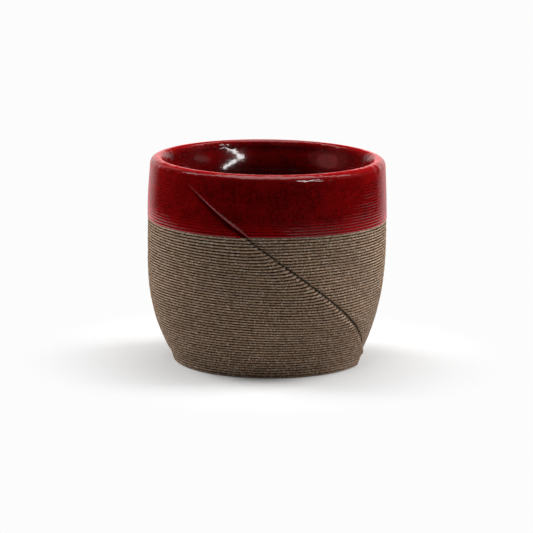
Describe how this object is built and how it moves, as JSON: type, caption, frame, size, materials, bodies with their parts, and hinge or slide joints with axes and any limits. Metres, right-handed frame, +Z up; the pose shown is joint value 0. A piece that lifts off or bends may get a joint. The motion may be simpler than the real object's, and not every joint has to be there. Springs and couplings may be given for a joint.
{
  "type": "double espresso cup",
  "caption": "Round-bellied stoneware cup without handle, printed in fine ribs with one slanting crease, dipped and lined in dark red glaze; holds a double espresso.",
  "frame": {"origin": "centre of the flat underside, on the surface that the cup stands on", "axes": "+Z up out of the mouth, -Y to the front, where the crease crosses the middle of the wall"},
  "size_m": [0.07, 0.072, 0.0602],
  "materials": {
    "wall_clay": "bare fired stoneware in fine printed ribs, taupe brown, matt",
    "floor_clay": "bare fired stoneware, taupe brown, matt",
    "band_glaze": "dark red glaze, glossy",
    "lining_glaze": "dark red glaze, glossy"
  },
  "bodies": {
    "root": {"stoneware_wall": "wall_clay", "stoneware_floor": "floor_clay", "glaze_band": "band_glaze", "glaze_lining": "lining_glaze"}
  },
  "joints": []
}
